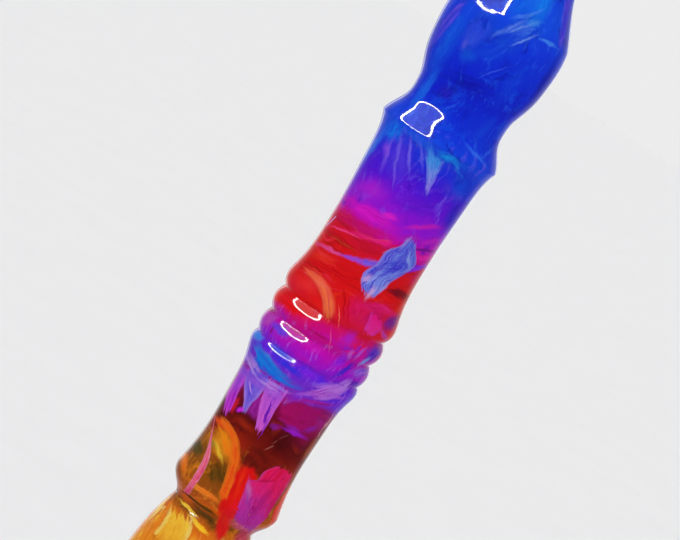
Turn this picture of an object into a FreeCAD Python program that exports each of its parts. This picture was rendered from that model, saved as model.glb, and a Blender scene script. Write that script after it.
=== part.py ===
import FreeCAD, Part
import os

# Magic wand turned on a lathe from one swirled resin casting. Millimetres, +Z from the pommel to
# the tip, origin at the centre of the pommel's flat end face. The side that faces -Y is the front.
# The casting is made of pours, stacked along the axis, each bonded to the next over a coned face
# that is INTERFACE_CONE lower at the axis. Pigment plumes lie flush in the surface of the pours, and
# reach PLUME_DEPTH into them.

V = FreeCAD.Vector
AXIS = V(0, 0, 1)

# ---- heights of the turned features, from the pommel's face
TIP_Z = 340.0
POMMEL_Z = 9.0
POMMEL_GROOVE_Z = 17.5
POMMEL_BEAD_Z = 19.6
GRIP_START_Z = 21.7
GRIP_Z = 35.0
NECK_Z = 52.0
SHOULDER_Z = 56.7
LOWER_WAIST_Z = 67.0
BEAD_ZS = (81.3, 85.2, 89.5, 93.6)
GROOVE_ZS = (82.9, 87.1, 91.5)
UPPER_WAIST_Z = 104.5
RIDGE_Z = 125.0
COVE_Z = 131.4
BULB_Z = 145.0
BULB_RIDGE_Z = 148.2
SHAFT_Z = 170.0

# ---- radii of the same features
TIP_R = 2.6
POMMEL_FACE_R = 7.4
POMMEL_R = 11.0
POMMEL_GROOVE_R = 8.5
POMMEL_BEAD_R = 9.5
GRIP_R = 10.1
NECK_R = 7.4
SHOULDER_R = 9.75
LOWER_WAIST_R = 8.65
BEAD_R = 10.2
GROOVE_R = 9.5
UPPER_WAIST_R = 9.05
RIDGE_R = 10.8
COVE_R = 8.5
BULB_R = 10.85
BULB_RIDGE_R = 10.5
SHAFT_R = 5.3

# ---- pours and plumes
PLUME_DEPTH = 1.6
INTERFACE_CONE = 2.5
BLOCK_R = 14.0
BLOCK_MARGIN = 1.0
PRISM_REACH = 16.0

# Each stretch of the profile is one smooth curve of (height, radius), and two stretches meet in a crease.
# The points between the named ones shape the flanks.
PROFILE = (
    ((0.0, POMMEL_FACE_R), (1.1, 9.0), (4.0, 10.6), (POMMEL_Z, POMMEL_R), (13.6, 10.3),
     (POMMEL_GROOVE_Z, POMMEL_GROOVE_R)),
    ((POMMEL_GROOVE_Z, POMMEL_GROOVE_R), (POMMEL_BEAD_Z, POMMEL_BEAD_R), (GRIP_START_Z, POMMEL_GROOVE_R)),
    ((GRIP_START_Z, POMMEL_GROOVE_R), (27.5, 9.55), (GRIP_Z, GRIP_R), (42.0, 9.75), (47.5, 8.8),
     (NECK_Z, NECK_R)),
    ((NECK_Z, NECK_R), (53.5, 8.1), (55.1, 9.3), (SHOULDER_Z, SHOULDER_R)),
    ((SHOULDER_Z, SHOULDER_R), (59.3, 9.25), (62.8, 8.8), (LOWER_WAIST_Z, LOWER_WAIST_R), (73.0, 8.85),
     (78.0, 9.3), (BEAD_ZS[0] - 1.2, 9.85), (BEAD_ZS[0], BEAD_R - 0.1), (GROOVE_ZS[0], GROOVE_R + 0.15)),
    ((GROOVE_ZS[0], GROOVE_R + 0.15), (BEAD_ZS[1], BEAD_R), (GROOVE_ZS[1], GROOVE_R)),
    ((GROOVE_ZS[1], GROOVE_R), (BEAD_ZS[2], BEAD_R + 0.1), (GROOVE_ZS[2], GROOVE_R)),
    ((GROOVE_ZS[2], GROOVE_R), (BEAD_ZS[3], BEAD_R + 0.1), (96.2, 9.8), (98.6, 9.35),
     (UPPER_WAIST_Z, UPPER_WAIST_R), (111.0, 9.15), (116.5, 9.45), (120.5, 9.7), (123.4, 10.2),
     (RIDGE_Z, RIDGE_R)),
    ((RIDGE_Z, RIDGE_R), (127.9, 9.4), (129.4, 8.7), (COVE_Z, COVE_R), (133.4, 8.7), (135.2, 9.3),
     (137.6, 10.1), (141.2, 10.65), (BULB_Z, BULB_R), (BULB_RIDGE_Z, BULB_RIDGE_R)),
    ((BULB_RIDGE_Z, BULB_RIDGE_R), (152.0, 8.7), (156.3, 6.85), (160.5, 5.85), (165.0, 5.45),
     (SHAFT_Z, SHAFT_R)),
    ((SHAFT_Z, SHAFT_R), (TIP_Z - TIP_R, TIP_R)),
    ((TIP_Z - TIP_R, TIP_R), (TIP_Z - 0.3 * TIP_R, 0.71 * TIP_R), (TIP_Z, 0.0)),
)

# Pours from the pommel up: node name, and the height at which its rim meets the next pour.
POURS = (
    ("pommel_gold_pour", POMMEL_GROOVE_Z),
    ("lower_grip_gold_pour", 46.5),
    ("neck_amber_pour", SHOULDER_Z),
    ("clear_amber_pour", 66.5),
    ("garnet_pour", 75.5),
    ("azure_pour", 83.8),
    ("magenta_bead_pour", GROOVE_ZS[2]),
    ("scarlet_pour", 100.5),
    ("crimson_pour", 107.0),
    ("violet_pour", 119.5),
    ("cobalt_ridge_pour", 129.5),
    ("cobalt_bulb_pour", BULB_RIDGE_Z + 3.0),
    ("shaft_blue_pour", 205.0),
    ("shaft_indigo_pour", 275.0),
    ("shaft_tip_pour", TIP_Z + INTERFACE_CONE + BLOCK_MARGIN),
)

# Plumes: node name, heading in degrees about the axis (0 is the front, 90 the +X side), and the outline
# as (across, height) points, which a smooth closed curve joins.
PLUMES = (
    ("gold_fold_plume", -15,
     ((-4.6, 41.0), (-1.2, 39.6), (1.6, 43.0), (0.6, 47.2), (-2.4, 49.4), (-4.4, 45.6))),
    ("orange_fold_plume", 32,
     ((-2.4, 40.8), (0.6, 38.8), (3.0, 42.4), (2.2, 47.4), (-0.4, 49.8), (-2.0, 46.0))),
    ("pink_ribbon_plume", -42,
     ((-2.9, 66.2), (-1.6, 66.4), (0.6, 61.0), (1.6, 53.4), (-0.2, 53.2), (-1.2, 60.0))),
    ("scarlet_arch_plume", -8,
     ((-5.0, 66.0), (-1.6, 66.6), (1.0, 60.0), (0.7, 55.0), (-1.0, 55.4), (-2.2, 61.2))),
    ("rose_petal_plume", 27,
     ((-0.6, 64.6), (2.4, 64.8), (4.0, 61.2), (3.2, 56.4), (0.8, 53.2), (-1.6, 54.0),
      (-2.8, 58.0), (-2.6, 62.0))),
    ("magenta_tongue_plume", -62,
     ((-1.7, 76.6), (1.6, 76.4), (1.3, 71.0), (-0.1, 66.8), (-1.3, 71.2))),
    ("lavender_petal_plume", -38,
     ((-2.0, 75.8), (2.0, 75.6), (1.2, 71.6), (0.2, 69.0), (-1.0, 71.8))),
    ("twin_tentacle_plume", -7,
     ((-1.6, 74.6), (0.9, 74.8), (1.2, 70.6), (0.3, 67.0), (-0.8, 70.4))),
    ("plum_lobe_plume", 34,
     ((-2.4, 74.6), (3.4, 75.0), (3.0, 71.4), (0.4, 69.8), (-2.0, 71.2))),
    ("azure_crescent_plume", -38,
     ((-4.3, 81.2), (-1.0, 80.0), (3.9, 77.4), (3.2, 76.0), (-1.4, 77.6), (-4.0, 79.2))),
    ("lilac_bead_plume", 34,
     ((-2.6, 85.6), (1.0, 87.0), (3.6, 89.6), (3.0, 87.4), (0.6, 85.0), (-2.0, 84.4))),
    ("orange_arch_plume", -33,
     ((-4.4, 97.2), (-0.8, 97.8), (3.2, 94.6), (3.0, 92.8), (-0.6, 95.4), (-3.8, 95.6))),
    ("magenta_petal_plume", 44,
     ((-1.6, 95.4), (0.9, 94.6), (1.6, 92.8), (-0.2, 92.4), (-1.8, 93.8))),
    ("blue_petal_plume", 20,
     ((1.0, 109.6), (3.6, 106.4), (2.6, 102.4), (1.2, 97.4), (-0.4, 96.6), (-2.8, 99.2),
      (-2.0, 104.2), (-0.4, 107.0))),
    ("pink_thread_plume", -24,
     ((-4.6, 103.6), (0.4, 105.4), (4.6, 107.7), (4.7, 107.2), (0.6, 104.8), (-4.4, 102.9))),
    ("maroon_patch_plume", 55,
     ((-2.0, 101.0), (2.0, 100.6), (2.2, 98.6), (-1.6, 98.2))),
    ("lavender_wisp_plume", 18,
     ((-1.8, 120.4), (1.8, 120.8), (1.4, 118.2), (0.2, 116.0), (-0.9, 118.0))),
    ("cyan_wisp_plume", 20,
     ((-2.6, 123.2), (0.0, 124.2), (2.8, 123.2), (2.0, 121.7), (-0.6, 121.5))),
    ("lilac_patch_plume", -26,
     ((-1.6, 141.2), (0.2, 140.5), (1.6, 142.4), (1.0, 144.2), (-1.0, 143.8))),
    ("pale_blue_plume", 6,
     ((-3.2, 142.6), (0.4, 141.6), (3.8, 144.2), (3.2, 147.0), (0.2, 147.4), (-2.2, 145.4))),
    ("violet_bulb_plume", -60,
     ((-1.1, 146.4), (1.1, 146.6), (1.6, 141.2), (0.9, 135.8), (-0.6, 136.0), (-0.2, 141.0))),
    ("violet_shaft_plume", 62,
     ((-1.4, 149.4), (1.3, 149.6), (1.0, 154.6), (0.4, 160.6), (-0.8, 160.4), (-1.2, 154.4))),
    ("back_gold_plume", 165,
     ((-4.2, 29.0), (0.2, 27.0), (4.0, 31.8), (3.0, 38.6), (-1.0, 41.8), (-3.8, 36.0))),
    ("back_rose_plume", 196,
     ((-3.4, 64.8), (1.6, 65.4), (3.6, 61.6), (1.6, 58.2), (-2.2, 58.6))),
    ("back_lavender_plume", 150,
     ((-3.0, 75.2), (3.2, 75.4), (1.8, 71.2), (0.0, 68.6), (-1.6, 71.4))),
    ("back_azure_plume", 205,
     ((-4.6, 81.4), (0.0, 80.0), (4.2, 78.0), (3.4, 76.4), (-0.8, 77.6), (-4.2, 79.2))),
    ("back_blue_petal_plume", 172,
     ((-1.2, 111.2), (2.2, 110.0), (3.0, 105.6), (1.0, 102.0), (-2.4, 103.2), (-3.0, 107.6))),
    ("back_orange_plume", 218,
     ((-3.2, 98.2), (1.0, 98.8), (3.4, 95.8), (1.8, 93.6), (-2.6, 95.0))),
    ("back_pale_blue_plume", 185,
     ((-3.4, 141.8), (0.8, 140.4), (3.8, 143.4), (2.2, 146.8), (-1.8, 146.2))),
    ("pommel_orange_plume", -30,
     ((-3.8, 5.2), (0.4, 3.4), (3.8, 7.6), (2.8, 12.8), (-0.8, 14.0), (-3.4, 10.4))),
    ("pommel_rose_plume", 140,
     ((-3.4, 4.8), (1.0, 4.0), (3.2, 8.8), (1.0, 13.4), (-2.8, 11.8))),
    ("shaft_azure_plume", -20,
     ((-1.1, 172.0), (0.9, 170.0), (1.5, 182.0), (0.9, 196.0), (-0.5, 197.0), (-1.0, 184.0))),
    ("shaft_violet_plume", 130,
     ((-1.0, 218.0), (1.0, 216.0), (1.2, 230.0), (0.5, 246.0), (-0.6, 245.0), (-1.1, 231.0))),
    ("shaft_magenta_plume", 20,
     ((-0.8, 286.0), (0.8, 284.0), (0.9, 298.0), (0.3, 312.0), (-0.6, 311.0), (-0.8, 299.0))),
)


def curve_edge(points):
    """A smooth curve through (height, radius) points, in the XZ plane."""
    curve = Part.BSplineCurve()
    curve.interpolate([V(radius, 0, height) for height, radius in points])
    return curve.toShape()


def turned_solid(inset):
    """The whole wand turned about Z, with its surface moved in by inset."""
    edges = []
    for stretch in PROFILE:
        inset_points = [(z, r - inset) for z, r in stretch if r > inset or inset == 0]
        if len(inset_points) > 1:
            edges.append(curve_edge(inset_points))
    first = edges[0].valueAt(edges[0].FirstParameter)
    last = edges[-1].valueAt(edges[-1].LastParameter)
    edges.insert(0, Part.makeLine(V(0, 0, first.z), first))
    if last.x > 0:
        edges.append(Part.makeLine(last, V(0, 0, last.z)))
    edges.append(Part.makeLine(V(0, 0, last.z), V(0, 0, first.z)))
    return Part.Face(Part.Wire(edges)).revolve(V(0, 0, 0), AXIS, 360)


def pour_block(low, high):
    """A block with coned ends that spans one pour, from the rim at low to the rim at high."""
    low_centre = low - INTERFACE_CONE
    outline = Part.makePolygon([
        V(0, 0, low_centre),
        V(BLOCK_R, 0, low),
        V(BLOCK_R, 0, high),
        V(0, 0, high - INTERFACE_CONE),
        V(0, 0, low_centre),
    ])
    return Part.Face(outline).revolve(V(0, 0, 0), AXIS, 360)


def plume_prism(heading, outline):
    """A prism that cuts one plume's outline into the side of the wand."""
    curve = Part.BSplineCurve()
    curve.interpolate([V(across, 0, height) for across, height in outline], PeriodicFlag=True)
    face = Part.Face(Part.Wire(curve.toShape()))
    prism = face.extrude(V(0, -PRISM_REACH, 0))
    prism.rotate(V(0, 0, 0), AXIS, heading)
    return prism


def one_solid(shape, name):
    """The shape's single solid. More or fewer than one is a fault in the dimensions."""
    if len(shape.Solids) != 1:
        raise ValueError(f"{name} has {len(shape.Solids)} solids")
    solid = shape.Solids[0]
    if not solid.isValid():
        raise ValueError(f"{name} isn't valid")
    return solid


def make_plumes(wand, core):
    """Every plume as a flush inlay between the surface and the core, none overlapping another."""
    skin = wand.cut(core)
    made = {}
    for name, heading, outline in PLUMES:
        plume = skin.common(plume_prism(heading, outline))
        for other in made.values():
            if plume.BoundBox.intersect(other.BoundBox):
                plume = plume.cut(other)
        made[name] = one_solid(plume, name)
    return made


def make_pours(wand, plumes):
    """Every pour, with pockets where the plumes lie."""
    made = {}
    low = -BLOCK_MARGIN
    for name, high in POURS:
        pour = wand.common(pour_block(low, high))
        for plume in plumes.values():
            if pour.BoundBox.intersect(plume.BoundBox):
                pour = pour.cut(plume)
        made[name] = one_solid(pour, name)
        low = high
    return made


def main():
    os.makedirs("parts", exist_ok=True)
    wand = turned_solid(0.0)
    core = turned_solid(PLUME_DEPTH)
    plumes = make_plumes(wand, core)
    pours = make_pours(wand, plumes)
    for name, solid in {**pours, **plumes}.items():
        solid.exportStep(f"parts/{name}.step")


main()
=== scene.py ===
import math
import random
from collections import namedtuple

import bpy
import numpy as np
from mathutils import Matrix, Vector


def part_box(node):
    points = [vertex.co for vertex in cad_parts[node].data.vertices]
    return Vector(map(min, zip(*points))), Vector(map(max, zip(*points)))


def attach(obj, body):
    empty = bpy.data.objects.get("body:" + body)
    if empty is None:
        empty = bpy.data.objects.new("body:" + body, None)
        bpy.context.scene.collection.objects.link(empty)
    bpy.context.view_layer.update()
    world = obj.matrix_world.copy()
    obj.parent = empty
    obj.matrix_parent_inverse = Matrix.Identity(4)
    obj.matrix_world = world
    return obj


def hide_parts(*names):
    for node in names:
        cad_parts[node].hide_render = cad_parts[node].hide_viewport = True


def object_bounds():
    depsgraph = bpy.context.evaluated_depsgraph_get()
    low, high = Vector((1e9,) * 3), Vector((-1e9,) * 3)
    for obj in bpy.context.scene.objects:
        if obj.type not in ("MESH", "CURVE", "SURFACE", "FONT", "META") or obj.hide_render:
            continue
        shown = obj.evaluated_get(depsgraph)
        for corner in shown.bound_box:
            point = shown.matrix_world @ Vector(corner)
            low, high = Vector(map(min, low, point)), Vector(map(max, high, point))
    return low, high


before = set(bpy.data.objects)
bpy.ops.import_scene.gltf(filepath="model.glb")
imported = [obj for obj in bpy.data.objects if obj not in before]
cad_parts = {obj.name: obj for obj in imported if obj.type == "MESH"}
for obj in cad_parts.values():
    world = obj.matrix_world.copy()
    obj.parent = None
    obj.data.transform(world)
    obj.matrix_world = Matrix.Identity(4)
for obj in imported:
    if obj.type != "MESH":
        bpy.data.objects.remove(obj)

# Looks of the turned resin wand. Blender works in metres. Places on the wand are given in millimetres.
MM = 0.001
CAD_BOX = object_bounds()

POURS = (
    "pommel_gold_pour", "lower_grip_gold_pour", "neck_amber_pour", "clear_amber_pour", "garnet_pour",
    "azure_pour", "magenta_bead_pour", "scarlet_pour", "crimson_pour", "violet_pour", "cobalt_ridge_pour",
    "cobalt_bulb_pour", "shaft_blue_pour", "shaft_indigo_pour", "shaft_tip_pour",
)

# A sketch is a flat plane through the wand's axis, seen from a point in front of it: across, height.
# What is drawn there lies on the wand where the line of sight meets its surface.
SIGHT_DISTANCE = 433.0
SIGHT_HEIGHT = 151.8
FRONT = 0.0
BACK = math.pi


# ---------------------------------------------------------------- the turned surface

PROFILE_STEP = 0.1
RAY_HEADINGS = (1.3, 2.9, 5.1)
RAY_START = 50 * MM
SLOPE_BLUR = (0.25, 0.5, 0.25)
STEEPEST = 8.0
SIGHT_STEPS = 8
LIMB = 0.985
SEGMENTS = 160
FINE_STEP = 0.2
COARSE_STEP = 1.0
SMALLEST_STEP = 0.05
SMALLEST_RADIUS = 0.05
FINE_BELOW = 172.0
TIP_FINE_FROM = 336.0


def sample_profile():
    """Heights and radii of the wand's surface in millimetres, read off the frame by rays towards the axis."""
    depsgraph = bpy.context.evaluated_depsgraph_get()
    top = CAD_BOX[1].z / MM
    heights = np.arange(PROFILE_STEP / 4, top, PROFILE_STEP)
    radii = np.zeros_like(heights)
    for angle in RAY_HEADINGS:
        way = Vector((-math.cos(angle), -math.sin(angle), 0))
        for i, height in enumerate(heights):
            start = Vector((0, 0, height * MM)) - way * RAY_START
            hit, place, *_ = bpy.context.scene.ray_cast(depsgraph, start, way)
            if hit:
                radii[i] = max(radii[i], math.hypot(place.x, place.y) / MM)
    return heights, radii


HEIGHTS, RADII = sample_profile()
SLOPES = np.convolve(np.gradient(RADII, HEIGHTS), SLOPE_BLUR, mode="same")


def radius(height):
    """The wand's radius at a height, both in millimetres."""
    return float(np.interp(height, HEIGHTS, RADII))


def surface_normal(x, y, height):
    """The outward normal of the turned surface beside a point."""
    slope = min(max(float(np.interp(height, HEIGHTS, SLOPES)), -STEEPEST), STEEPEST)
    out = math.hypot(x, y) or 1.0
    normal = Vector((x / out, y / out, -slope))
    return normal.normalized()


def on_surface(across, height, heading, lift=0.0):
    """The surface point, in millimetres, under a point of a sketch, and its normal."""
    x, z, depth = across, height, radius(height)
    for _ in range(SIGHT_STEPS):
        scale = (SIGHT_DISTANCE - depth) / SIGHT_DISTANCE
        x = across * scale
        z = SIGHT_HEIGHT + (height - SIGHT_HEIGHT) * scale
        reach = radius(z)
        x = max(-LIMB * reach, min(LIMB * reach, x))
        depth = math.sqrt(reach * reach - x * x)
    c, s = math.cos(heading), math.sin(heading)
    turned = (x * c + depth * s, x * s - depth * c, z)
    normal = surface_normal(*turned)
    return Vector(turned) + normal * lift, normal


def make_piece(name, points, faces, corner_normals, replaced):
    """A mesh piece in metres that rides on the wand and stands for one CAD node."""
    mesh = bpy.data.meshes.new(name)
    mesh.from_pydata([tuple(c * MM for c in p) for p in points], [], faces)
    mesh.update()
    mesh.polygons.foreach_set("use_smooth", [True] * len(mesh.polygons))
    mesh.normals_split_custom_set(corner_normals)
    piece = bpy.data.objects.new(name, mesh)
    bpy.context.scene.collection.objects.link(piece)
    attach(piece, "root")
    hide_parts(replaced)
    return piece


def ring_heights(low, high):
    """Heights of a pour's rings: close together on the grip and the tip, wider on the plain shaft."""
    levels = [low]
    while levels[-1] < high:
        here = levels[-1]
        step = FINE_STEP if here < FINE_BELOW or here > TIP_FINE_FROM else COARSE_STEP
        levels.append(min(high, here + step))
    if len(levels) > 2 and levels[-1] - levels[-2] < SMALLEST_STEP:
        levels.pop(-2)
    return levels


def side_face(i, j):
    """Corners of one face between ring i and the ring above it."""
    k = (j + 1) % SEGMENTS
    return (i * SEGMENTS + j, i * SEGMENTS + k, (i + 1) * SEGMENTS + k, (i + 1) * SEGMENTS + j)


def add_end(points, faces, normals, first, height, way):
    """A flat fan of triangles over the ring that starts at a point, facing down (-1) or up (1)."""
    centre = len(points)
    points.append((0, 0, height))
    for j in range(SEGMENTS):
        k = (j + 1) % SEGMENTS
        pair = (first + j, first + k) if way > 0 else (first + k, first + j)
        faces.append((*pair, centre))
        normals.extend([Vector((0, 0, way))] * 3)


def turned_piece(node, low, high):
    """One pour as a closed turned solid with its own flat ends. Its front and back take a material each."""
    levels = ring_heights(low, high)
    points = []
    side_normals = []
    for z in levels:
        r = max(radius(z), SMALLEST_RADIUS)
        for i in range(SEGMENTS):
            turn = 2 * math.pi * i / SEGMENTS
            points.append((r * math.cos(turn), r * math.sin(turn), z))
            side_normals.append(surface_normal(math.cos(turn), math.sin(turn), z))
    faces = [side_face(i, j) for i in range(len(levels) - 1) for j in range(SEGMENTS)]
    normals = [side_normals[v] for face in faces for v in face]
    add_end(points, faces, normals, 0, levels[0], -1)
    add_end(points, faces, normals, (len(levels) - 1) * SEGMENTS, levels[-1], 1)
    piece = make_piece(node.replace("_pour", "_resin"), points, faces, normals, node)
    for face in piece.data.polygons:
        face.material_index = 0 if face.center.y < 0 else 1
    return piece


# ---------------------------------------------------------------- plumes of pigment

SHEET_ROWS = 36
SHEET_COLUMNS = 12
SHEET_DEPTH = 0.08
RIM_DEPTH = 0.03
RIM_WIDTH = 0.5
RIDGE_HEIGHT = 0.05
RIDGE_SHARES = (0.3, 1.0)
MARKS = ("reach", "side", "edge", "end")

# A plume: its name, left and right guide curves from root to tip, how soft its sides are and how far its ends
# fray in millimetres, how many fibres run along it, its tones at the root, tip and fringe, and its side.
Plume = namedtuple("Plume", "name left right soft fray fibres root tip fringe side", defaults=(FRONT,))


def smooth_path(points, count):
    """Count points on a Catmull-Rom curve through the points, evenly spaced in its parameter."""
    before = (2 * points[0][0] - points[1][0], 2 * points[0][1] - points[1][1])
    after = (2 * points[-1][0] - points[-2][0], 2 * points[-1][1] - points[-2][1])
    ends = [before, *points, after]
    path = []
    for i in range(count):
        t = i / (count - 1) * (len(points) - 1)
        k = min(int(t), len(points) - 2)
        f = t - k
        a, b, c, d = (np.array(p) for p in ends[k:k + 4])
        square = (2 * a - 5 * b + 4 * c - d) * f ** 2
        cube = (3 * b - a - 3 * c + d) * f ** 3
        path.append(0.5 * (2 * b + (c - a) * f + square + cube))
    return path


def sheet_points(plume):
    """Sketch points of a plume's sheet in rows, each with its reach, side, and distance from sides and ends."""
    left = smooth_path(plume.left, SHEET_ROWS)
    right = smooth_path(plume.right, SHEET_ROWS)
    middle = [(a + b) / 2 for a, b in zip(left, right)]
    steps = [0.0] + [float(np.linalg.norm(b - a)) for a, b in zip(middle, middle[1:])]
    travel = np.cumsum(steps)
    rows = []
    for i, (a, b) in enumerate(zip(left, right)):
        width = float(np.linalg.norm(b - a))
        row = []
        for j in range(SHEET_COLUMNS + 1):
            share = j / SHEET_COLUMNS
            edge = width * min(share, 1 - share)
            end = min(travel[i], travel[-1] - travel[i])
            row.append((a + (b - a) * share, travel[i] / travel[-1], 2 * share - 1, edge, end))
        rows.append(row)
    return rows


def sheet_surface(plume):
    """Points of a sheet's upper and lower face, the wand's normal at each, and the marks its material reads."""
    rng = random.Random(plume.name + "_plume")
    rows = sheet_points(plume)
    ridges = [rng.uniform(*RIDGE_SHARES) for _ in range(SHEET_COLUMNS + 1)]
    points, normals, marks = [], [], []
    for upper in (True, False):
        for row in rows:
            for ridge, (place, *mark) in zip(ridges, row):
                rise = min(1.0, mark[2] / RIM_WIDTH, mark[3] / RIM_WIDTH)
                lift = (RIM_DEPTH + RIDGE_HEIGHT * ridge) * rise - RIM_DEPTH
                point, normal = on_surface(*place, plume.side, lift if upper else -SHEET_DEPTH)
                points.append(tuple(point))
                normals.append(normal)
                marks.append(mark)
    return points, normals, marks


def sheet_faces():
    """Faces of a sheet: its upper and lower face in pairs of quads, then the band round its rim."""
    width = SHEET_COLUMNS + 1
    under = SHEET_ROWS * width
    faces = []
    for i in range(SHEET_ROWS - 1):
        for j in range(SHEET_COLUMNS):
            a = i * width + j
            faces.append((a, a + 1, a + width + 1, a + width))
            faces.append((under + a, under + a + width, under + a + width + 1, under + a + 1))
    rim = list(range(width)) + [i * width + width - 1 for i in range(1, SHEET_ROWS)]
    rim += [(SHEET_ROWS - 1) * width + j for j in range(width - 2, -1, -1)]
    rim += [i * width for i in range(SHEET_ROWS - 2, 0, -1)]
    return faces + [(b, a, under + a, under + b) for a, b in zip(rim, rim[1:] + rim[:1])]


def plume_piece(plume):
    """A plume as a thin closed sheet let into the wand's surface, with low ridges along its fibres."""
    points, vertex_normals, marks = sheet_surface(plume)
    faces = sheet_faces()
    middle = faces[(SHEET_ROWS // 2) * SHEET_COLUMNS * 2 + SHEET_COLUMNS]
    a, b, c = (Vector(points[v]) for v in middle[:3])
    if (b - a).cross(c - a).dot(vertex_normals[middle[0]]) < 0:
        faces = [face[::-1] for face in faces]
    normals = [vertex_normals[v] for face in faces for v in face]
    piece = make_piece(plume.name + "_pigment", points, faces, normals, plume.name + "_plume")
    for n, name in enumerate(MARKS):
        layer = piece.data.attributes.new(name, "FLOAT", "POINT")
        layer.data.foreach_set("value", [float(mark[n]) for mark in marks])
    return piece


# ---------------------------------------------------------------- node trees

def linear(code):
    """A colour as four linear numbers, from a code such as 0528d7."""
    channels = [int(code[i:i + 2], 16) / 255 for i in (0, 2, 4)]
    return (*(c / 12.92 if c <= 0.04045 else ((c + 0.055) / 1.055) ** 2.4 for c in channels), 1.0)


class Graph:
    """Short calls that add nodes to a tree and return their output sockets."""

    def __init__(self, tree):
        self.tree = tree

    def put(self, socket, value):
        if isinstance(value, bpy.types.NodeSocket):
            self.tree.links.new(value, socket)
        elif value is not None:
            socket.default_value = value

    def node(self, kind, inputs=(), output=0, **settings):
        made = self.tree.nodes.new(kind)
        for name, value in settings.items():
            setattr(made, name, value)
        for key, value in dict(inputs).items():
            self.put(made.inputs[key], value)
        return made.outputs[output]

    def math(self, operation, a, b=None, c=None):
        return self.node("ShaderNodeMath", {0: a, 1: b, 2: c}, operation=operation)

    def plus(self, a, b):
        return self.math("ADD", a, b)

    def minus(self, a, b):
        return self.math("SUBTRACT", a, b)

    def times(self, a, b):
        return self.math("MULTIPLY", a, b)

    def vector(self, operation, a, b=None, output=0):
        return self.node("ShaderNodeVectorMath", {0: a, 1: b}, output, operation=operation)

    def dot(self, a, b):
        return self.vector("DOT_PRODUCT", a, b, output="Value")

    def scale(self, vector, by):
        return self.node("ShaderNodeVectorMath", {0: vector, "Scale": by}, operation="SCALE")

    def split(self, vector):
        made = self.tree.nodes.new("ShaderNodeSeparateXYZ")
        self.put(made.inputs[0], vector)
        return made.outputs

    def join(self, x, y, z):
        return self.node("ShaderNodeCombineXYZ", {0: x, 1: y, 2: z})

    def noise(self, vector, scale, detail=2.0, rough=0.5, output="Fac"):
        inputs = {"Vector": vector, "Scale": scale, "Detail": detail, "Roughness": rough}
        return self.node("ShaderNodeTexNoise", inputs, output)

    def spread(self, value, low, high, to_low=0.0, to_high=1.0, kind="SMOOTHSTEP"):
        inputs = {"Value": value, "From Min": low, "From Max": high, "To Min": to_low, "To Max": to_high}
        return self.node("ShaderNodeMapRange", inputs, interpolation_type=kind)

    def mix(self, share, a, b):
        return self.node("ShaderNodeMix", {"Factor": share, 6: a, 7: b}, 2, data_type="RGBA")

    def ramp(self, value, stops):
        made = self.tree.nodes.new("ShaderNodeValToRGB")
        self.put(made.inputs[0], value)
        elements = made.color_ramp.elements
        while len(elements) < len(stops):
            elements.new(0.5)
        for element, (place, _) in zip(elements, stops):
            element.position = place
        for element, (_, colour) in zip(elements, stops):
            element.color = colour
        return made.outputs[0]


def new_group(name, inputs, output, output_kind):
    """The graph of a new node group with one output, and the sockets that it is given."""
    tree = bpy.data.node_groups.new(name, "ShaderNodeTree")
    for socket, kind in inputs:
        tree.interface.new_socket(name=socket, in_out="INPUT", socket_type=f"NodeSocket{kind}")
    tree.interface.new_socket(name=output, in_out="OUTPUT", socket_type=f"NodeSocket{output_kind}")
    return Graph(tree), tree.nodes.new("NodeGroupInput").outputs


# Scale, detail and roughness of each noise.
STROKE_NOISE = (1.6, 3.0, 0.6)
SLOW_NOISE = (0.11, 2.0, 0.5)
QUICK_NOISE = (0.5, 3.0, 0.6)
VEIL_NOISE = (1.0, 4.0, 0.6)
SMUDGE_NOISE = (0.35, 3.0, 0.6)
FIBRE_NOISE = (1.0, 4.0, 0.65)
FLOOR_NOISE = (40.0, 4.0, 0.6)

NARROWEST_TAPER = 0.12
STROKE_SEED = (0.37, 0.53, 0.0)
STROKE_FIBRES = (0.9, 2.6)
TONE_CHANGE = (0.35, 0.65)
FRAY_REACH = 2.0
LIMB_FADE = 1.5


def stroke_group():
    """The node group of one brush stroke in a sketch: a soft, bent, tapered and frayed oval of two tones."""
    g, given = new_group("stroke", (
        ("Under", "Color"), ("Sketch", "Vector"), ("Centre", "Vector"), ("Along", "Vector"),
        ("Across", "Vector"), ("First", "Color"), ("Second", "Color"), ("Bend", "Float"), ("Taper", "Float"),
        ("Inner", "Float"), ("Fray", "Float"), ("Opacity", "Float")), "Color", "Color")
    offset = g.vector("SUBTRACT", given["Sketch"], given["Centre"])
    u = g.dot(offset, given["Along"])
    v = g.dot(offset, given["Across"])
    v = g.minus(v, g.times(given["Bend"], g.times(u, u)))
    v = g.math("DIVIDE", v, g.math("MAXIMUM", g.math("MULTIPLY_ADD", given["Taper"], u, 1.0), NARROWEST_TAPER))
    seed = g.dot(given["Centre"], STROKE_SEED)
    along, across = STROKE_FIBRES
    fibres = g.noise(g.join(g.times(u, along), g.times(v, across), seed), *STROKE_NOISE)
    pulled = g.times(g.minus(fibres, 0.5), given["Fray"])
    size = g.math("SQRT", g.plus(g.times(u, u), g.times(v, v)))
    reach = g.math("MULTIPLY_ADD", pulled, FRAY_REACH, size)
    mask = g.spread(reach, 1.0, given["Inner"])
    facing = g.spread(g.split(given["Sketch"])[2], 0.0, LIMB_FADE)
    share = g.times(g.times(mask, facing), given["Opacity"])
    colour = g.mix(g.spread(fibres, *TONE_CHANGE), given["First"], given["Second"])
    out = g.tree.nodes.new("NodeGroupOutput")
    g.put(out.inputs["Color"], g.mix(share, given["Under"], colour))
    return g.tree


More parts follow.
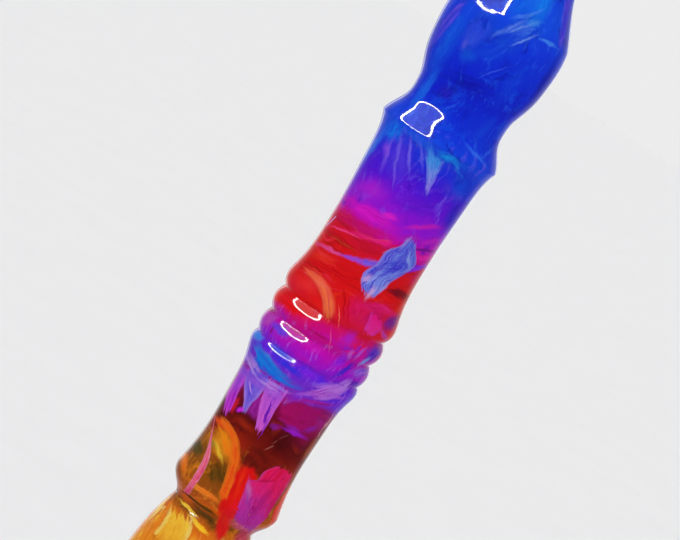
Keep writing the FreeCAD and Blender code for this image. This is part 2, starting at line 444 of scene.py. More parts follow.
def sketch_group():
    """The node group that turns a place on the wand, in millimetres, into sketch coordinates and depth."""
    g, given = new_group("sketch", (("Place", "Vector"), ("Side", "Float")), "Sketch", "Vector")
    x, y, z = g.split(given["Place"])
    depth = g.times(g.times(y, given["Side"]), -1.0)
    scale = g.math("DIVIDE", SIGHT_DISTANCE, g.minus(SIGHT_DISTANCE, depth))
    across = g.times(g.times(x, given["Side"]), scale)
    height = g.math("MULTIPLY_ADD", g.minus(z, SIGHT_HEIGHT), scale, SIGHT_HEIGHT)
    out = g.tree.nodes.new("NodeGroupOutput")
    g.put(out.inputs["Sketch"], g.join(across, height, depth))
    return g.tree


STROKE = stroke_group()
SKETCH = sketch_group()

# ---------------------------------------------------------------- colours of the casting

# Height in millimetres and the colour of the casting there, where no stroke lies.
BASE = (
    (0, "e08c14"), (10, "f0a01e"), (17, "e66e14"), (24, "f0a823"), (33, "f5b428"), (41, "eb8c1e"),
    (47, "e8801a"), (50.5, "d2640f"), (52.2, "6e3c08"), (54.5, "d25a0f"), (57.5, "96480a"), (61, "8c4f0a"),
    (64.5, "961e06"), (67.5, "6e0a04"), (70, "5a0306"), (72.5, "6e0228"), (74.5, "8c0046"),
    (76.5, "a01482"), (78.8, "7828d2"), (81.5, "5a1edc"), (84.2, "a50ac8"), (86.5, "be00aa"),
    (89, "cd0082"), (91.5, "dc0a32"), (95, "dc0f14"), (99, "d7080f"), (103, "d70a19"), (105.8, "c8053c"),
    (108, "c800af"), (110.8, "960ad2"), (114, "690ad7"), (118, "460fd7"), (121, "1e28dc"), (124, "0f46e1"),
    (128, "0a32dc"), (134, "081ed2"), (140, "0628d7"), (146, "0a37e1"), (151, "0c4be6"), (160, "1428d7"),
    (178, "0f46e6"), (196, "281edc"), (214, "1450eb"), (235, "3c1edc"), (255, "1e3ce6"), (272, "5a1edc"),
    (292, "8c1ed2"), (310, "5a14e1"), (326, "2846eb"), (340, "1496f0"),
)

# Stroke in a sketch: centre, half length, half width and the angle of its length in degrees, two tones, then
# how opaque, soft, frayed, bent and tapered it is, and its side.
Stroke = namedtuple("Stroke", "x z length width angle tones alpha soft fray bend taper side",
                    defaults=(0.8, 0.9, 0.5, 0.0, 0.0, FRONT))

FRONT_STROKES = [Stroke(*row) for row in (
    (0.4, 105.7, 9.2, 0.55, 13.5, "e1006e f52896", 0.9, 0.9, 0.4),
    (-5.2, 102.3, 4.2, 0.3, -2, "963205 b44105", 0.6, 0.8, 0.4),
    (-5.4, 100.8, 3.6, 0.22, -4, "820505 a00a0a", 0.6, 0.8, 0.4),
    (0.9, 59, 5.6, 1.9, 89, "dc0f05 eb1e0a", 0.97, 0.6, 0.3),
    # bulb and the start of the shaft
    (-7.2, 140, 9.5, 2.2, 89, "0a4be1 0a73eb", 0.6, 1),
    (-9, 141.5, 6.5, 0.6, 82, "4b46e6 6e5af0", 0.8, 0.9, 0.3),
    (2.5, 153.5, 5.5, 2.4, 100, "0a6ee8 0f8cf2", 0.85, 0.9, 0.4),
    (7.3, 152.3, 5.6, 0.75, 113, "5a4af0 8058f2", 0.95, 0.7, 0.3),
    (8.5, 151, 5, 0.5, 113, "0612b0 0a18c0", 0.8, 0.8, 0.4),
    (0, 152, 5.5, 3.6, 84, "0a5ae6 0f78f0", 0.65, 1),
    (-1.5, 143.4, 6.5, 4.4, 42, "0a3cdc 0f50e1", 0.65, 0.7),
    (2.9, 149.4, 1.8, 0.9, 30, "1e78ec 3c8cf2", 0.8, 0.7, 0.6),
    (-4.9, 143, 3, 1.4, 92, "2846dc 4b5fe6", 0.7, 0.9, 0.6),
    (-4.8, 140.8, 1.8, 0.7, 90, "4155e6 6464eb", 0.7, 0.9, 0.6),
    (-3.4, 139.4, 2.4, 1.9, 20, "0b4cdc 0c5ce4", 0.7, 0.9, 0.6),
    (-0.5, 135.6, 5.5, 1.9, 10, "0208aa 0410b9", 0.8, 1),
    (2.2, 140.2, 5.5, 0.5, 47, "0a1ec8 0f2dd2", 0.7, 0.9, 0.4, -0.6),
    (-1.5, 143.6, 2, 1.4, 40, "0410bc 0828d0", 0.6, 1, 0.7),
    (5.2, 138.7, 5.5, 1.7, 85, "0a34da 1050e4", 0.6, 1, 0.6),
    (9.7, 141, 9, 1.1, 91, "0000a0 0408b4", 0.75, 0.9, 0.2),
    (1.5, 139.2, 3.6, 0.22, 52, "2f52ea 4468f0", 0.6, 0.8, 0.2, -0.8),
    (6.7, 147.9, 2.2, 0.4, 5, "3080f0 5a9cf4", 0.8, 0.7, 0.9),
    # cove
    (-6.6, 131, 5.8, 1.1, 86, "0a52e4 1a7cf0", 0.8, 0.8, 0.4),
    (-3.4, 132.4, 1.9, 1.7, 0, "2014ae 2c1cc0", 0.6, 1, 0.3),
    (1, 131.5, 4.5, 1.6, 100, "0312c0 0626d2", 0.6, 1, 0.6),
    (5.2, 130.4, 4.4, 1.4, 80, "0c3cdf 1454e6", 0.6, 1, 0.6),
    (6.3, 126.1, 3.8, 0.4, -16, "2260ee 3c7cf2", 0.8, 0.8, 0.7),
    (7.8, 127.6, 1.9, 0.35, 78, "1f5cee 3474f0", 0.6),
    # ridge to violet
    (-7.4, 122.6, 2.6, 2.4, 90, "0b54e6 0a84f0", 0.85, 0.8, 0.6),
    (-3, 123.4, 4, 1.2, -4, "1450e4 2c6cec", 0.7, 0.9, 0.8),
    (-8.9, 119.2, 5.4, 0.8, 84, "1850e8 2a7cf0", 0.9, 0.8, 0.3),
    (-4.2, 119, 5.4, 3.2, -66, "4628dc 5a3ce1", 0.8, 0.9, 0.7),
    (-3.2, 120.6, 4.4, 0.45, -62, "6e64eb 8c78f0", 0.7, 0.9, 0.4),
    (-4.9, 119.6, 4.6, 0.45, -70, "6455e6 8a6ef0", 0.65, 0.9, 0.4),
    (-6.4, 118.8, 4.4, 0.5, -80, "6e50e6 9664eb", 0.6, 0.9, 0.4),
    (-1.4, 121.4, 3.4, 0.4, -55, "5a5ae6 7d78f0", 0.6, 0.9, 0.4),
    (-3.6, 116.4, 3.6, 0.3, -64, "6e50e1 8c64eb", 0.55, 0.9, 0.4),
    (-6.9, 119.4, 1.8, 0.9, -70, "8a46e4 a45aea", 0.55, 1),
    (7, 120.3, 3.8, 3.2, 90, "0432d0 0848de", 0.9, 0.9, 0.4),
    (8.2, 115.6, 4, 1.6, 92, "1410bc 2420cc", 0.8, 0.9, 0.3),
    (2.6, 123.4, 2.6, 0.8, 5, "0c74ec 12a0f2", 0.9, 0.7, 1.1),
    (0.5, 121.4, 3.4, 0.8, -52, "2478ee 58a0f4", 0.85, 0.7, 0.6, 0, -0.3),
    (2.2, 118.8, 3, 0.55, -76, "7a6cf2 b08cf8", 0.85, 0.6, 0.4, 0, -0.5),
    (-5.6, 112.4, 4.4, 3, 20, "aa19d2 c323c8", 0.62, 1, 0.3),
    (1.5, 113.6, 5, 2, 15, "5c08cc 7414d4", 0.7, 1),
    (5, 111.4, 4.4, 0.65, 31, "b414c0 dc1eb4", 0.9, 0.8),
    (-3.6, 108.8, 6, 1.8, 2, "c400b4 e014cc", 0.9, 0.7),
    (-0.6, 110.2, 1.9, 0.8, 5, "d614c4 e61ed2", 0.9, 0.7, 0.6),
    (7.3, 110, 2.5, 0.7, 45, "b00abe c81ec0", 0.9, 0.7, 0.4),
    (4.2, 108.6, 3, 0.8, 30, "a00ab4 b41eb4", 0.8, 0.8),
    (7.1, 108.3, 2.4, 0.28, 24, "5c0078 780a96", 0.9, 0.6, 0.3),
    (7.8, 107.2, 2.4, 0.65, 36, "d400a4 e61eaa", 0.9, 0.6, 0.4),
    (8.6, 103.6, 2.2, 1.3, 80, "c40050 d20a5a", 0.9, 0.8, 0.3),
    (7.4, 104.9, 2.8, 0.6, 43, "7414dc 9632e6", 0.95, 0.5, 0.4),
    (-3.6, 106.3, 7, 1.3, 8, "be005a c80a6e", 0.9, 0.8),
    (3.4, 106.2, 3.4, 1.4, 30, "c8003c be0064", 0.85, 0.8, 0.4),
    (-5.8, 104, 4, 0.26, 8, "e61e6e f04a8c", 0.9, 0.7, 0.3, 0.3),
    (-0.6, 105.6, 3.6, 0.3, 22, "dc1464 f03c82", 0.9, 0.7, 0.3),
    (-4.4, 102.6, 4.4, 0.16, 2, "960010 aa0a14", 0.7, 0.7),
    (-5.2, 102, 3.4, 0.12, 3, "8c0010 a00814", 0.6, 0.7),
    (-6.4, 100.2, 3.6, 0.5, 4, "d22878 e45aa4", 0.9, 0.7),
    (-2.2, 100.9, 3.6, 0.6, 12, "c332b4 7850eb", 0.9, 0.7, 0.4, 0, 0.6),
    (0.6, 101.8, 2.4, 0.9, 24, "5a46e6 7864eb", 0.9, 0.7),
    # scarlet lobe
    (5.6, 94.2, 4.6, 2.8, 62, "be0064 d20a78", 0.8, 1, 0.4),
    # The dark purple next, along the right edge, is painted shade.
    (8.7, 95.4, 2.4, 1.3, 66, "780a78 8c148c", 0.85, 0.9, 0.4),
    (-6.5, 98.6, 3, 1.2, 3, "e62814 f03c28", 0.7, 1, 0.6),
    (-4.3, 97.6, 5.2, 0.14, 1, "b0001c c00014", 0.8, 0.7),
    (-4.6, 97.1, 4.8, 0.12, 2, "a80018 b80010", 0.7, 0.7),
    (-7, 96.3, 3.4, 0.14, -1, "6e0014 8c0014", 0.8, 0.7, 0.3),
    (7.4, 99.8, 3.2, 0.8, 8, "6e000f 910020", 0.85, 0.8, 0.7),
    (5.6, 98.2, 3.2, 0.5, -3, "dc0014 e61414", 0.8, 0.7, 0.6),
    (6.8, 96.4, 2.8, 0.8, 2, "d60a5a e6288c", 0.85, 0.7),
    (2.6, 93.9, 3.6, 2.6, 100, "c8054b d70a64", 0.85, 0.9, 0.4),
    (4.6, 95.6, 3.4, 1.2, 20, "c80a5a dc1478"),
    # The dark purple next, along the right edge, is painted shade.
    (8.8, 94.7, 2, 1.5, 70, "6e0f8c 821e96", 0.85),
    (8.8, 92.6, 1.6, 0.7, -30, "aa2daa c850be"),
    (-6.4, 93.2, 3.6, 1.8, 5, "e6282d eb2d32", 0.8, 1, 0.3),
    (-3, 91.4, 3.4, 1.4, -10, "eb1010 f01e0f", 0.8, 1, 0.3),
    (-3.4, 94.2, 5.4, 1, -32, "f04b37 f55a32", 0.9, 0.7, 0.4, -0.9),
    (0.5, 93.6, 3.2, 0.3, -60, "b4000a c8000f", 0.8, 0.6, 0.3, -0.9),
    (1.6, 93, 3, 0.25, -62, "be000f c80014", 0.7, 0.6, 0.3, -0.9),
    # beads
    (-7.4, 89.6, 6.2, 2.5, -3, "dc050a e60a0f", 0.97, 0.5, 0.3),
    (0.6, 88.4, 4.2, 2, 4, "cd0078 c8008c", 0.85, 1, 0.4),
    (1.4, 87.4, 3.2, 0.9, -4, "be00a0 c800aa", 0.7, 1, 0.4),
    (4.1, 89, 2.4, 1.7, 70, "b414c8 a01ed2", 0.85, 1),
    (9, 89.2, 3, 1.5, 78, "3719be 4632cd", 0.9, 0.8),
    # The pale blue-lavender streak next is a painted highlight on the bead.
    (8.3, 87.2, 1.8, 0.35, 68, "5a8ceb 78aaf0", 0.85, 0.8, 0.6),
    (6.9, 88, 2, 0.4, 76, "a03cd2 b95ad7", 0.8, 0.8, 0.4),
    (5.7, 86.9, 1.2, 0.5, 84, "b946c8 c864d2", 0.8, 0.8),
    (-0.6, 87, 3.4, 0.3, 1, "a0004b b40055", 0.7, 0.8, 0.3),
    (-9.6, 86.6, 1.2, 0.8, 0, "8c143c aa1e50"),
    (-8.7, 85, 2, 1, 60, "aa3cb4 be50be", 0.8, 0.8, 0.8),
    (-7.7, 83.6, 1, 0.2, 82, "780032 8c0a3c", 0.9, 0.6, 0.3),
    (-6.4, 84.4, 2.6, 1, -8, "3c3ce1 5a46e6", 0.85),
    (-0.2, 84.8, 3.4, 1.5, 4, "c800b4 cd0abe", 0.85, 1, 0.3),
    (4.8, 85.2, 2.4, 1.3, 62, "961edc 6e14dc", 0.85, 0.9, 0.6),
    (6.2, 84.2, 3, 0.7, 62, "2314be 3c1ed2", 0.9, 0.7),
    (8.6, 85.2, 2.2, 1.1, 44, "6e3cd2 a06ee6", 0.85, 0.8, 0.8),
    (-9.2, 81.6, 1.6, 1.1, -20, "1e82eb 2898f0", 0.9, 0.8, 0.4),
    (-4.6, 81.2, 3.6, 1, -8, "1e32e1 1446e6", 0.9, 0.9, 0.4),
    (-0.6, 82.2, 2.8, 0.8, -2, "be00b4 aa0ac8", 0.85, 0.9, 0.3),
    (1.6, 80.6, 2.4, 1.2, 10, "7814dc 8c28e1", 0.85, 1),
    (5.2, 80.4, 4, 0.9, 26, "8246dc b478eb", 0.85, 0.8, 0.9),
    (6.4, 78.9, 3.8, 0.5, 30, "aa46d2 c878e6", 0.8, 0.8, 0.7),
    (3.2, 77.6, 3.6, 0.5, 28, "a03cd2 c373e6", 0.8, 0.8, 0.7),
    (8.6, 83, 1.8, 0.9, 30, "500ab4 6414be", 0.85, 0.8),
    (-2.4, 79.7, 4.4, 0.8, -6, "1e28dc 2832e1", 0.85, 0.9, 0.4),
    (-4.8, 78.4, 5.6, 1.2, -20, "0082eb 149bf0", 0.95, 0.7, 0.4, 0.7),
    (-6.4, 76.5, 4, 0.55, -32, "a078eb c896f0", 0.9, 0.7, 0.8, 0.8),
    (-2.2, 75.5, 2.4, 0.5, 8, "aa6ee6 c88cf0", 0.9, 0.7, 0.8, 0.4),
    (4.4, 76.8, 5.2, 0.6, 24, "960f8c b91eaa", 0.85, 0.8, 0.7),
    # hanging tentacles over garnet
    (-4.6, 75, 5, 1.4, -4, "7832d7 9b50e1", 0.85),
    (7.2, 75.8, 3.4, 2.4, 10, "8c0046 a0054b", 0.9, 0.9, 0.3),
    (3.4, 73.4, 3.8, 2, 6, "a0005f a50a78", 0.9, 0.7, 0.3),
    (1.5, 70, 0.9, 0.7, 20, "82005a 960a6e", 0.9, 0.5, 0.3),
    (-3.2, 71.2, 2.6, 1.9, 90, "8c148c a01ea0", 0.9, 0.5, 0.3),
    (-7.4, 74.2, 1.8, 1.4, 90, "8c32dc a046e1"),
    (-6.4, 69.6, 1.9, 0.5, -84, "c80a28 d21432", 0.9, 0.6, 0.2),
    (3.8, 68.4, 3.6, 2.2, 80, "460003 500305", 0.9, 1, 0.4),
    (-3.4, 67.6, 3.4, 1.1, -8, "961e0a a5280a", 0.8, 1),
    (2, 63.2, 3.8, 3.2, -10, "5f0a03 780f05", 0.97, 0.5, 0.3),
    # The amber-brown streak next, along the right edge, is a painted glint of light.
    (8.2, 69.6, 3, 0.7, 88, "96370a b4500f", 0.85, 0.8, 0.7),
    # The thin pale pink line next, along the right edge, is a painted highlight.
    (8.3, 74.4, 4, 0.14, 88, "c87882 d29696", 0.7, 0.6, 0.8),
    # amber window
    # The three thin pale lines next are painted reflections: scratch-like glints of light on the dark garnet.
    (2.2, 66.3, 1.1, 0.14, 58, "96463c b4786e", 0.7, 0.7, 0.8),
    (2.5, 67.6, 0.9, 0.1, 70, "8c3c32 aa6e64", 0.6, 0.7, 0.8),
    (3.4, 69.2, 1.2, 0.12, 52, "782832 96505a", 0.6, 0.7, 0.8),
    (2.5, 74.2, 1.6, 0.1, -62, "d2466e e68296", 0.75, 0.6, 0.9, 0.5),
    (-5, 62.4, 3.8, 2.4, -30, "c8780f e6961e", 0.9, 0.8, 0.7),
    (-4.4, 63.4, 4.4, 1.3, -38, "f0780a f0960f", 0.9, 0.7, 0.9),
    (-5.6, 65.5, 3.8, 0.8, -16, "e6370a f0500f", 0.95, 0.6, 0.5, -0.4),
    (-1.8, 62.2, 3.6, 0.9, -54, "eb3c0a f5640f", 0.95, 0.6, 0.6, -0.3),
    (-6.3, 62, 1.3, 0.8, -20, "8c7323 a08228", 0.8, 0.8, 0.8),
    (-4.6, 61.3, 2.8, 0.5, -40, "e6b428 ebc83c", 0.8, 0.8, 0.9),
    (-2.9, 57.9, 2.7, 2.3, -55, "4b3205 6e4605", 0.95, 0.7),
    (-1.5, 56.2, 1.9, 1.4, -60, "82400a 96500a"),
    (-8, 60, 1.8, 1.4, -60, "3c3c1e 5a4b14", 0.9, 0.7, 0.6),
    (-8.9, 57, 3, 0.8, -62, "e66e0f f0871e", 0.9, 0.7, 0.4),
    (-3.4, 54.2, 4.6, 0.75, -5, "e65f0f fa9b2d", 0.95, 0.6, 0.6),
    (0.3, 57, 3.8, 0.6, -76, "f03c0f f5641e", 0.95, 0.6, 0.3),
    (1.6, 59.9, 2.4, 1.9, 80, "d70508 e10a0c", 0.97, 0.4, 0.25),
    (1.4, 56, 5.2, 1.9, 86, "d70508 e60f0c", 0.97, 0.4, 0.25),
    (2.3, 51.2, 3.8, 1.5, -76, "d70a14 e61919", 0.97, 0.5, 0.3),
    (9, 58.8, 4.8, 0.75, 94, "e61e14 f03c28", 0.95, 0.5, 0.2),
    # neck and golden folds
    (2.7, 54.4, 2.8, 1.3, 88, "dc0a1e e61423", 0.95, 0.5, 0.3),
    (5.8, 52.8, 3.4, 1.4, 8, "b41e64 dc64a0", 0.92, 0.7, 0.6),
    # The pale pink-white streak next is partly the pink of the neck and partly a painted highlight.
    (6.6, 53.4, 1.8, 0.3, 40, "e696be f5c8dc", 0.85, 0.7, 0.7),
    (-3, 52, 4.8, 0.34, -5, "3c2805 4b320a", 0.95, 0.5, 0.2),
    (-1.4, 51, 3.4, 0.5, -12, "50320a 64410a", 0.9, 0.6, 0.3),
    (6.4, 51.2, 2.6, 1.2, 60, "b41e46 dc5078", 0.85, 0.7, 0.6),
    (-4, 50.4, 2.8, 0.45, -14, "f5be28 ffd750", 0.95, 0.6, 0.4),
    (-1.2, 48.8, 3, 0.6, -16, "fabe14 ffd23c", 0.95, 0.6),
    (-4.4, 47.2, 4.2, 1, -38, "f0820f f5aa23", 0.9, 0.8, 0.8),
    (-8.3, 47.6, 4.4, 0.32, 80, "fac850 ffe182", 0.9, 0.6, 0.4),
    (-7.3, 47.4, 4.4, 0.3, 84, "e16e0f f08c1e", 0.9, 0.6, 0.4),
    (1, 45.6, 4.4, 1.2, -30, "e66414 f08c1e", 0.85, 0.9, 0.8),
)]

BACK_STROKE_AREA = 2.2
BACK_SEED = 11


def back_strokes():
    """The back carries the broader strokes of the front, turned over and moved a little."""
    rng = random.Random(BACK_SEED)
    made = []
    for stroke in FRONT_STROKES:
        if stroke.length * stroke.width > BACK_STROKE_AREA:
            made.append(stroke._replace(
                x=-stroke.x * rng.uniform(0.5, 1.0) + rng.uniform(-2, 2),
                z=stroke.z + rng.uniform(-1.5, 1.5),
                angle=180 - stroke.angle + rng.uniform(-15, 15),
                bend=-stroke.bend,
                side=BACK))
    return made


STROKES = back_strokes() + FRONT_STROKES

# Strokes that also cross the plumes.
GLAZES = [Stroke(*row) for row in (
    (4.3, 71.1, 2.1, 0.85, -5, "820f9b a01ebe", 0.92, 0.8, 0.5, -0.4),
    (1, 69.8, 1, 0.75, 14, "730f7d 8c1991", 0.92, 0.7),
    (6.5, 72.7, 1.6, 0.7, 56, "7d1496 9619b4", 0.85),
    (-2.2, 75.9, 3.4, 0.5, 2, "9664e6 b98cf0", 0.92, 0.8, 0.5, 0.3),
    (-6.9, 77.2, 2.6, 0.45, -36, "8c6ee6 b48cf0", 0.85, 0.8),
    (4.4, 102.9, 2.4, 0.9, 32, "2d1ecd 4632d7", 0.75),
    (1.1, 58.6, 5, 0.7, 98, "dc1e05 eb320a", 0.85, 0.9, 0.4),
    (0.2, 147, 4.2, 0.5, 58, "3264eb 6e96f5", 0.85, 0.9, 0.4),
    (1.7, 147.8, 3.6, 0.34, 50, "3c6eeb 82aaf5", 0.85, 0.9, 0.3),
    (3.1, 146.2, 3.2, 0.28, 52, "4678f0 82a5f5", 0.85, 0.8, 0.3),
    (-1, 145.4, 3, 0.5, 66, "2850e1 5078eb", 0.75),
    (0.9, 149.6, 2.8, 0.5, 38, "2864e6 5a8cf0"),
    (2.4, 151, 2.4, 0.4, 60, "3278eb 5596f0", 0.7),
    (4.7, 104, 3.4, 0.8, 32, "2d28d2 4646dc", 0.8, 0.9, 0.7),
    (3.6, 101.6, 2.2, 0.6, 60, "3737d7 5050e1", 0.7, 0.9, 0.7),
    (1.4, 99.3, 1.5, 0.8, 60, "b991e6 dcb9eb", 0.85, 0.9, 0.9),
    (3.3, 97.6, 2, 0.6, 80, "c896e1 e6b9e6", 0.85, 0.9, 0.9),
    (4.6, 99.4, 2.2, 0.35, 72, "8c8cf0 b4b4f5", 0.8, 0.9, 0.6),
    (2.4, 99.8, 2.6, 0.3, 66, "8296f0 afb4f5", 0.8, 0.9, 0.6),
    (5.9, 105.6, 2.2, 0.5, 118, "829bf0 a5b9f5", 0.75, 0.9, 0.6),
    (3.9, 107.6, 2, 0.45, 78, "8273e6 b4a5f0", 0.75, 0.9, 0.7),
    (2.1, 105.2, 1.8, 0.3, 55, "5a64e1 96a0f0", 0.7, 0.9, 0.4),
    (3, 58.2, 2.6, 0.7, -62, "b950a5 cd73b4", 0.85, 0.9, 0.7),
    (4, 56.2, 3, 0.4, -58, "8c1e96 aa3ca0"),
    (5.8, 57.6, 4.6, 0.9, 84, "960a6e a5147d", 0.7, 1),
    (7.7, 58.6, 5, 0.6, 92, "be0050 d7145a", 0.8, 0.9, 0.3),
    (4.6, 61.2, 2.4, 0.35, 30, "b4003c c80a50", 0.8, 0.8, 0.3, 0.6),
    (-1.1, 71.2, 2.5, 0.34, -77, "5a0ab4 780fb9", 0.95, 0.5, 0.3, 0, 0.4),
    (-0.3, 69.4, 3.4, 0.2, -86, "780fb4 a01ed2", 0.85, 0.8, 0.3),
    (-5.6, 74.8, 5.2, 1.2, -6, "8246dc a55fe6", 0.8, 0.9, 0.7),
    (-2, 74.6, 2.6, 0.8, 4, "a04bdc c36ee6", 0.8, 0.9, 0.7),
    (-7.6, 76.6, 3, 0.4, -36, "aa82eb c8a0f0", 0.85, 0.8, 0.7, 0.5),
    (-3.4, 75.2, 3, 0.35, -4, "aa7deb c896f0", 0.85, 0.8, 0.7, 0.3),
    (-5.6, 73.4, 1.6, 0.16, -50, "d28cf0 e6aaf5", 0.85, 0.8, 0.3),
    (-5.2, 69.3, 1, 0.6, 40, "c814dc dc28e6", 0.9, 0.7, 0.4),
    (4.4, 70.6, 3.2, 0.5, 6, "960ac8 aa1edc", 0.8, 0.8, 0.5, 0.5),
    (-5.6, 95.7, 4.6, 0.16, -3, "c8142d d71e37", 0.7, 0.8, 0.3),
    (-2, 92.6, 3.6, 0.2, -52, "dc2846 e63c50", 0.7, 0.8, 0.3, -0.6),
    (0.8, 91.4, 2.6, 0.14, -62, "fa6e5a ff8c6e", 0.7, 0.8, 0.3, -0.6),
    (1.6, 87.2, 3, 0.12, -66, "eb468c f05a96", 0.7, 0.8, 0.2, -0.5),
)]

# Veils drift through the casting between two heights: their colour, the stretch of their noise along x, y and
# z, the noise level at which they start, their strength, and whether they are smooth brushed streaks.
Veil = namedtuple("Veil", "low high colour stretch level share streaks", defaults=(False,))

VEILS = [Veil(*row) for row in (
    (-5, 50, "ffd23c", (0.35, 0.35, 0.1), 0.52, 0.8),
    (-5, 50, "c8500a", (0.3, 0.3, 0.12), 0.56, 0.8),
    (-5, 52, "ffe682", (1.2, 1.2, 0.09), 0.52, 0.6, True),
    (-5, 52, "c85a0a", (1.1, 1.1, 0.08), 0.54, 0.6, True),
    (50, 66, "e68214", (0.4, 0.4, 0.16), 0.52, 0.7),
    (50, 66, "4b3205", (0.3, 0.3, 0.2), 0.56, 0.6),
    (52, 67, "f0aa32", (1, 1, 0.14), 0.54, 0.4, True),
    (64, 76, "961e0a", (0.4, 0.4, 0.2), 0.54, 0.5),
    (64, 76, "3c0004", (0.3, 0.3, 0.2), 0.54, 0.6),
    (73, 84, "6e28dc", (0.4, 0.4, 0.3), 0.55, 0.6),
    (74, 92, "b464e6", (1.1, 1.1, 0.2), 0.54, 0.5, True),
    (84, 92, "6414d2", (0.35, 0.35, 0.3), 0.56, 0.6),
    (91, 104, "e6320f", (0.25, 0.25, 0.6), 0.56, 0.5),
    (91, 109, "8c0010", (0.07, 0.07, 1.1), 0.54, 0.5, True),
    (94, 110, "fa3c64", (0.07, 0.07, 1.3), 0.58, 0.45, True),
    (106, 121, "8246e6", (0.4, 0.4, 0.16), 0.54, 0.4),
    (106, 125, "3200be", (0.3, 0.3, 0.2), 0.55, 0.6),
    (112, 128, "7d64f0", (1.2, 1.2, 0.1), 0.54, 0.35, True),
    (120, 160, "0c50e6", (0.35, 0.35, 0.12), 0.53, 0.5),
    (122, 160, "0208aa", (0.3, 0.3, 0.14), 0.54, 0.6),
    (122, 172, "326ef0", (1.2, 1.2, 0.13), 0.55, 0.45, True),
    (156, 345, "288cf0", (0.5, 0.5, 0.08), 0.55, 0.7),
    (156, 345, "5a14c8", (0.4, 0.4, 0.1), 0.54, 0.6),
    (160, 345, "6ea0f5", (1.2, 1.2, 0.07), 0.56, 0.5, True),
)]

# A part of a sketch that a material covers.
Box = namedtuple("Box", "low high left right side")

WARP_MARGIN = 6.0
VEIL_MARGIN = 1
VEIL_FADE = 2.5
VEIL_SOFTNESS = 0.16
# How far slow and quick noise shift the base, the swirled veils, the streaks and the strokes, in millimetres.
BASE_DRIFT = (9.0, 2.2)
SWIRL_DRIFT = (14.0, 3.0)
STREAK_DRIFT = 7.0
STROKE_DRIFT = 0.9
# A stroke's drift and frayed edge take it past its own outline by this factor and these margins.
STROKE_SPREAD = 1.25
TALL_MARGIN = 1.6
WIDE_MARGIN = 0.8


def base_stops(low, high):
    """The stops of the base colours that a pour needs, with its own ends worked out between two stops."""
    heights = [h for h, _ in BASE]
    colours = np.array([linear(c) for _, c in BASE])
    chosen = [low] + [h for h in heights if low < h < high] + [high]
    return [((h - low) / (high - low), tuple(float(np.interp(h, heights, colours[:, n])) for n in range(4)))
            for h in chosen]


def add_stroke(g, under, sketches, stroke):
    """One stroke over the colour so far."""
    angle = math.radians(stroke.angle)
    along = (math.cos(angle) / stroke.length, math.sin(angle) / stroke.length, 0.0)
    across = (-math.sin(angle) / stroke.width, math.cos(angle) / stroke.width, 0.0)
    first, second = (linear(code) for code in stroke.tones.split())
    inputs = {"Under": under, "Sketch": sketches[stroke.side], "Centre": (stroke.x, stroke.z, 0.0),
              "Along": along, "Across": across, "First": first, "Second": second, "Bend": stroke.bend,
              "Taper": stroke.taper, "Inner": 1.0 - stroke.soft, "Fray": stroke.fray, "Opacity": stroke.alpha}
    return g.node("ShaderNodeGroup", inputs, node_tree=STROKE)


def meets(stroke, box):
    """Whether a stroke may reach into a box."""
    angle = math.radians(stroke.angle)
    rise = math.hypot(stroke.length * math.sin(angle), stroke.width * math.cos(angle))
    run = math.hypot(stroke.length * math.cos(angle), stroke.width * math.sin(angle))
    tall = rise * STROKE_SPREAD + TALL_MARGIN
    wide = run * STROKE_SPREAD + WIDE_MARGIN
    if stroke.side != box.side or stroke.x + wide < box.left or stroke.x - wide > box.right:
        return False
    return box.low - tall < stroke.z < box.high + tall


def add_strokes(g, colour, sketches, strokes, box):
    """The strokes that may reach into a box, over the colour so far."""
    for stroke in strokes:
        if meets(stroke, box):
            colour = add_stroke(g, colour, sketches, stroke)
    return colour


def add_veils(g, colour, place, smooth, swirled, box):
    """The veils that lie in a box's heights, over the colour so far."""
    for veil in VEILS:
        if veil.low - VEIL_MARGIN > box.high or veil.high + VEIL_MARGIN < box.low:
            continue
        stretched = g.vector("MULTIPLY", smooth if veil.streaks else swirled, veil.stretch)
        fibres = g.noise(stretched, *VEIL_NOISE)
        fade = g.spread(fibres, veil.level, veil.level + VEIL_SOFTNESS)
        level = g.split(place)[2]
        window = g.times(g.spread(level, veil.low, veil.low + VEIL_FADE),
                         g.spread(level, veil.high, veil.high - VEIL_FADE))
        colour = g.mix(g.times(g.times(fade, window), veil.share), colour, linear(veil.colour))
    return colour


def casting_colour(g, place, box):
    """The colour of the casting in a box: the base, drifting veils, then the strokes. The sketches are returned
    too, for the glazes."""
    slow = g.vector("SUBTRACT", g.noise(place, *SLOW_NOISE, "Color"), (0.5, 0.5, 0.5))
    quick = g.vector("SUBTRACT", g.noise(place, *QUICK_NOISE, "Color"), (0.5, 0.5, 0.5))

    def drifted(slowly, quickly):
        return g.vector("ADD", place, g.vector("ADD", g.scale(slow, slowly), g.scale(quick, quickly)))

    bottom, top = box.low - WARP_MARGIN, box.high + WARP_MARGIN
    height = g.split(drifted(*BASE_DRIFT))[2]
    colour = g.ramp(g.spread(height, bottom, top, kind="LINEAR"), base_stops(bottom, top))
    smooth = g.vector("ADD", place, g.scale(slow, STREAK_DRIFT))
    colour = add_veils(g, colour, place, smooth, drifted(*SWIRL_DRIFT), box)
    nudged = g.vector("ADD", place, g.scale(quick, STROKE_DRIFT))
    sketches = {way: g.node("ShaderNodeGroup", {"Place": nudged, "Side": sign}, node_tree=SKETCH)
                for way, sign in ((FRONT, 1.0), (BACK, -1.0))}
    return add_strokes(g, colour, sketches, STROKES, box), sketches


RESIN = {"IOR": 1.5, "Subsurface Weight": 0.2, "Subsurface Radius": (1.0, 1.0, 1.0),
         "Subsurface Scale": 1.0 * MM}
ROUGHNESS = (0.04, 0.09)
HALF_WIDTH = 12


